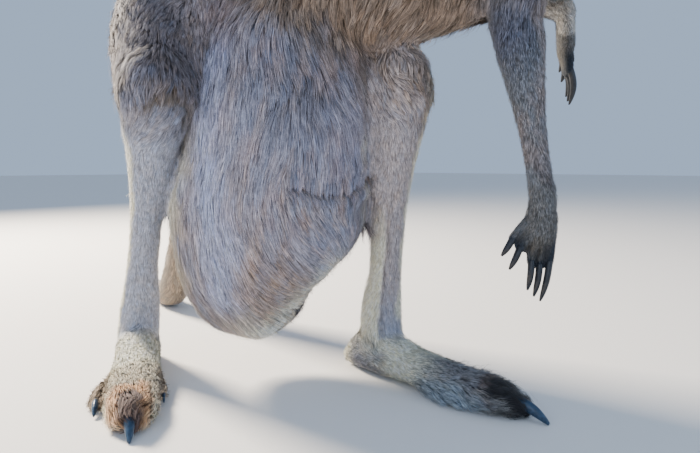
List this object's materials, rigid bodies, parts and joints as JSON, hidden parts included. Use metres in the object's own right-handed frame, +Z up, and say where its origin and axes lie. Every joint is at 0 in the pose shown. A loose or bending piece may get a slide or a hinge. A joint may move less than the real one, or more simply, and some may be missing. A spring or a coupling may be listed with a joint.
{
  "type": "red kangaroo, adult female",
  "caption": "Still, life-size model of a standing red kangaroo with a full pouch, for display on a floor.",
  "frame": {"origin": "on the floor, at the middle of the bounding box's underside", "axes": "+Z up from the floor; the kangaroo faces -Y and its left side is towards +X"},
  "size_m": [0.6024, 1.472, 1.0792],
  "materials": {
    "fur_fawn": "soft matt fur, fawn-brown with dark tips",
    "fur_grey": "short matt fur, grey-brown and ticked",
    "fur_white": "long soft white fur",
    "fur_cream": "short cream to sandy fur",
    "eye": "wet, glossy, very dark brown",
    "claw": "smooth dark grey horn with a dull shine",
    "nose": "dark, finely pebbled bare skin"
  },
  "bodies": {
    "root": {"ear_left": "fur_grey", "ear_right": "fur_grey", "eye_left": "eye", "eye_right": "eye", "foot_claw_fifth_left": "claw", "foot_claw_fifth_right": "claw", "foot_claw_fourth_left": "claw", "foot_claw_fourth_right": "claw", "foot_claw_second_left": "claw", "foot_claw_second_right": "claw", "foot_claw_third_left": "claw", "foot_claw_third_right": "claw", "foot_left": "fur_cream", "foot_right": "fur_cream", "forearm_left": "fur_grey", "forearm_right": "fur_grey", "hand_claw_fifth_left": "claw", "hand_claw_fifth_right": "claw", "hand_claw_first_left": "claw", "hand_claw_first_right": "claw", "hand_claw_fourth_left": "claw", "hand_claw_fourth_right": "claw", "hand_claw_second_left": "claw", "hand_claw_second_right": "claw", "hand_claw_third_left": "claw", "hand_claw_third_right": "claw", "hand_left": "fur_grey", "hand_right": "fur_grey", "head": "fur_fawn", "neck": "fur_cream", "nose": "nose", "pouch": "fur_white", "shank_left": "fur_white", "shank_right": "fur_white", "tail_base": "fur_cream", "tail_middle": "fur_cream", "tail_tip": "fur_cream", "thigh_left": "fur_grey", "thigh_right": "fur_grey", "trunk": "fur_fawn", "upper_arm_left": "fur_fawn", "upper_arm_right": "fur_fawn"}
  },
  "joints": []
}
